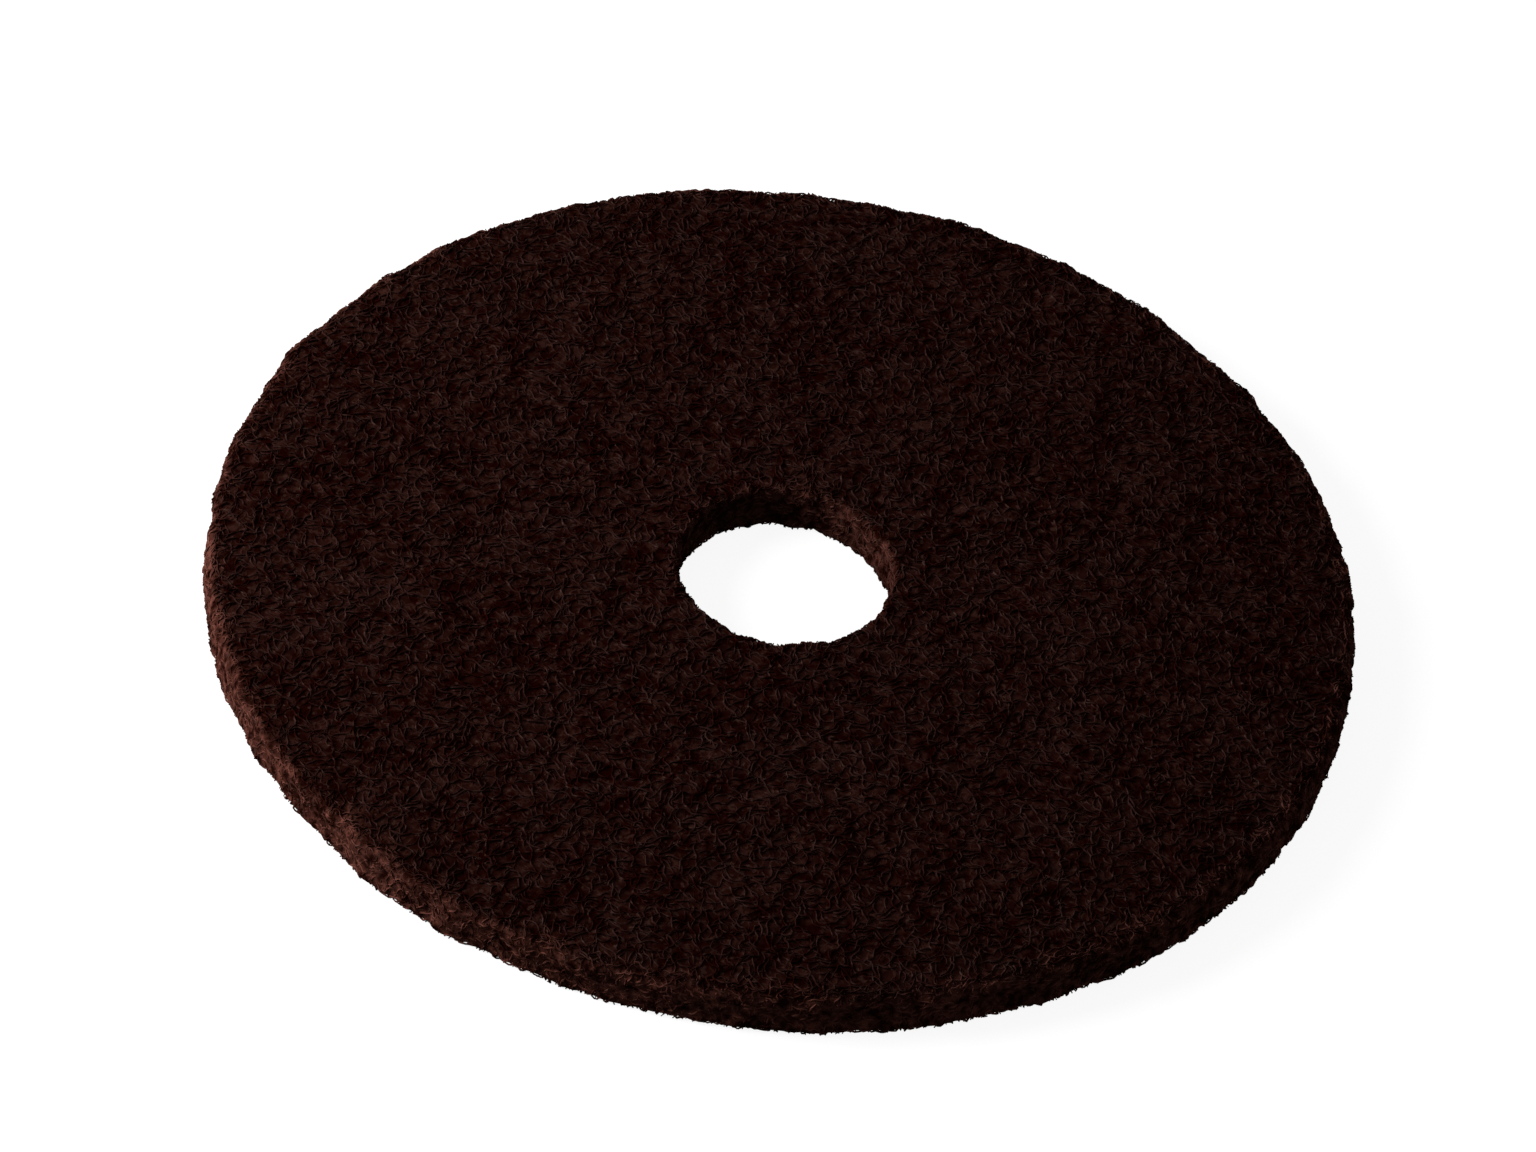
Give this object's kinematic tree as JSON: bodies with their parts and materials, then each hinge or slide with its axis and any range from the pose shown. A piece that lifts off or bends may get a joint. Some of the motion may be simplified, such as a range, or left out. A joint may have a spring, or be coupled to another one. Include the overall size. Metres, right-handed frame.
{
  "type": "floor polishing pad",
  "caption": "Round floor polishing pad of thick nonwoven fibre web, with an open centre hole and a ragged die-cut rim.",
  "frame": {"origin": "centre of the pad's underside, on the axis of the centre hole", "axes": "+Z through the thickness, from the floor side up to the driver side; X and Y lie in the pad, and the picture looks along +Y"},
  "size_m": [0.4318, 0.4325, 0.02],
  "materials": {
    "fibre_web": "matt dark brown resin-bonded fibre, redder on the cut walls"
  },
  "bodies": {
    "root": {"polishing_pad": "fibre_web"}
  },
  "joints": []
}
